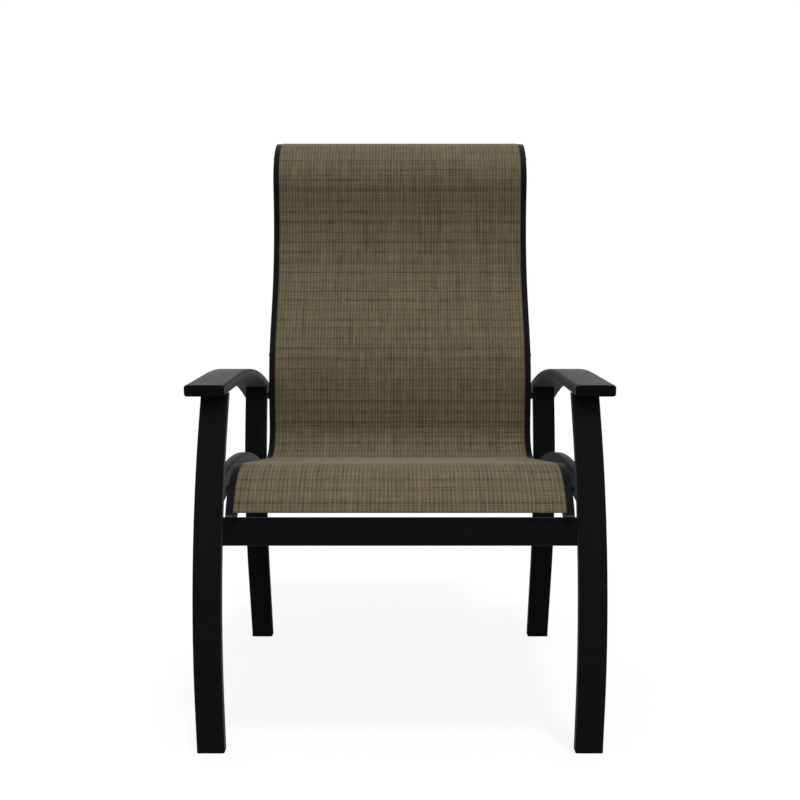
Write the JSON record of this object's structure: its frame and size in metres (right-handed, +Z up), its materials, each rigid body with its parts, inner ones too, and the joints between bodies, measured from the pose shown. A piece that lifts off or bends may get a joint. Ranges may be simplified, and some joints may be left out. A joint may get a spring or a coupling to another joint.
{
  "type": "patio chair",
  "caption": "High-back stationary dining armchair with a woven sling seat stretched between bent rails on a flat-bar frame.",
  "frame": {"origin": "centre of the chair's bounding box in plan, on the floor under the feet", "axes": "+Z up; the sitter looks along -Y; +X towards the sitter's left"},
  "size_m": [0.6814, 0.7414, 1.0771],
  "materials": {
    "frame_coating": "satin black powder coat",
    "sling_cloth": "woven olive-brown tweed",
    "black_plastic": "matt moulded",
    "spline_plastic": "plain extruded rod",
    "fastener_steel": "black plated"
  },
  "bodies": {
    "root": {"arm_front_cap_left": "black_plastic", "arm_front_cap_right": "black_plastic", "arm_left": "frame_coating", "arm_rear_cap_left": "black_plastic", "arm_rear_cap_right": "black_plastic", "arm_right": "frame_coating", "back_spreader": "frame_coating", "back_spreader_screw_left": "fastener_steel", "back_spreader_screw_right": "fastener_steel", "front_crossbar": "frame_coating", "front_foot_glide_left": "black_plastic", "front_foot_glide_right": "black_plastic", "front_leg_left": "frame_coating", "front_leg_right": "frame_coating", "front_rail_bolt_left": "fastener_steel", "front_rail_bolt_right": "fastener_steel", "front_rail_spacer_left": "black_plastic", "front_rail_spacer_right": "black_plastic", "front_rivet_nut_left": "fastener_steel", "front_rivet_nut_right": "fastener_steel", "rail_foot_pad_left": "black_plastic", "rail_foot_pad_right": "black_plastic", "rail_top_cap_left": "black_plastic", "rail_top_cap_right": "black_plastic", "rear_crossbar": "frame_coating", "rear_foot_glide_left": "black_plastic", "rear_foot_glide_right": "black_plastic", "rear_leg_left": "frame_coating", "rear_leg_right": "frame_coating", "rear_rail_bolt_left": "fastener_steel", "rear_rail_bolt_right": "fastener_steel", "rear_rail_spacer_left": "black_plastic", "rear_rail_spacer_right": "black_plastic", "rear_rivet_nut_left": "fastener_steel", "rear_rivet_nut_right": "fastener_steel", "seat_spreader": "frame_coating", "seat_spreader_screw_left": "fastener_steel", "seat_spreader_screw_right": "fastener_steel", "side_stretcher_left": "frame_coating", "side_stretcher_right": "frame_coating", "sling_fabric": "sling_cloth", "sling_rail_left": "frame_coating", "sling_rail_right": "frame_coating", "sling_spline_left": "spline_plastic", "sling_spline_right": "spline_plastic", "top_spreader": "frame_coating", "top_spreader_screw_left": "fastener_steel", "top_spreader_screw_right": "fastener_steel"}
  },
  "joints": []
}
